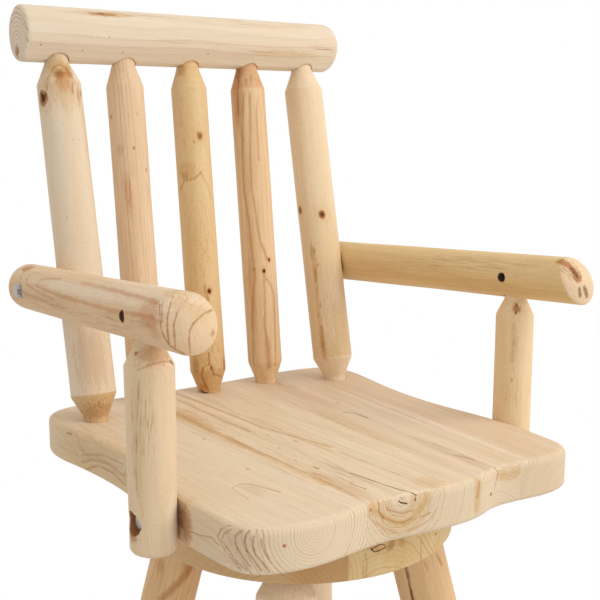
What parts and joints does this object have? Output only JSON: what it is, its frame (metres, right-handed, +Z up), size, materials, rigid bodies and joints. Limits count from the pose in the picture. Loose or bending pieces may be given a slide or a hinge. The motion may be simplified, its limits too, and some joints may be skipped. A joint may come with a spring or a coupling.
{
  "type": "rustic bar stool",
  "caption": "Bar stool of peeled logs: a glued plank seat with slatted back and arms that turns on a ball-bearing swivel over a round wooden top with splayed log legs and foot rungs.",
  "frame": {"origin": "on the floor, under the axis that the seat turns about", "axes": "+Z up, -Y the way the sitter faces, +X to the sitter's left"},
  "size_m": [0.5943, 0.5951, 1.3014],
  "materials": {
    "rail_wood": "bare peeled softwood",
    "slat_outer_left_wood": "bare peeled softwood",
    "slat_inner_left_wood": "bare peeled softwood",
    "slat_centre_wood": "bare peeled softwood",
    "slat_inner_right_wood": "bare peeled softwood",
    "slat_outer_right_wood": "bare peeled softwood",
    "arm_left_wood": "bare peeled softwood",
    "arm_right_wood": "bare peeled softwood",
    "post_left_wood": "bare peeled softwood",
    "post_right_wood": "bare peeled softwood",
    "seat_left_wood": "bare peeled softwood",
    "seat_middle_left_wood": "bare peeled softwood",
    "seat_middle_right_wood": "bare peeled softwood",
    "seat_right_wood": "bare peeled softwood",
    "base_wood": "bare peeled softwood",
    "leg_wood": "bare peeled softwood",
    "rung_wood": "bare peeled softwood",
    "zinc_steel": "zinc plated",
    "swivel_steel": "zinc plated"
  },
  "bodies": {
    "base": {"base_plank_left": "base_wood", "base_plank_middle": "base_wood", "base_plank_right": "base_wood", "leg_front_left": "leg_wood", "leg_front_right": "leg_wood", "leg_back_left": "leg_wood", "leg_back_right": "leg_wood", "foot_rung_front": "rung_wood", "foot_rung_back": "rung_wood", "foot_rung_left": "rung_wood", "foot_rung_right": "rung_wood", "swivel_lower_plate": "swivel_steel", "swivel_rivet": "swivel_steel", "swivel_balls": "swivel_steel", "swivel_lower_screws": "zinc_steel"},
    "seat": {"back_rail": "rail_wood", "back_slat_outer_left": "slat_outer_left_wood", "back_slat_inner_left": "slat_inner_left_wood", "back_slat_centre": "slat_centre_wood", "back_slat_inner_right": "slat_inner_right_wood", "back_slat_outer_right": "slat_outer_right_wood", "arm_left": "arm_left_wood", "arm_right": "arm_right_wood", "arm_post_left": "post_left_wood", "arm_post_right": "post_right_wood", "seat_plank_left": "seat_left_wood", "seat_plank_middle_left": "seat_middle_left_wood", "seat_plank_middle_right": "seat_middle_right_wood", "seat_plank_right": "seat_right_wood", "post_lag_screws": "zinc_steel", "post_lag_washers": "zinc_steel", "arm_lag_screws": "zinc_steel", "arm_lag_washers": "zinc_steel", "tenon_cross_bolts": "zinc_steel", "tenon_cross_nuts": "zinc_steel", "swivel_upper_plate": "swivel_steel", "swivel_upper_screws": "zinc_steel"}
  },
  "joints": [
    {"name": "seat_swivel", "type": "hinge", "parent": "base", "child": "seat", "pos_m": [0, 0, 0.7075], "axis": [0, 0, 1], "continuous": true}
  ]
}
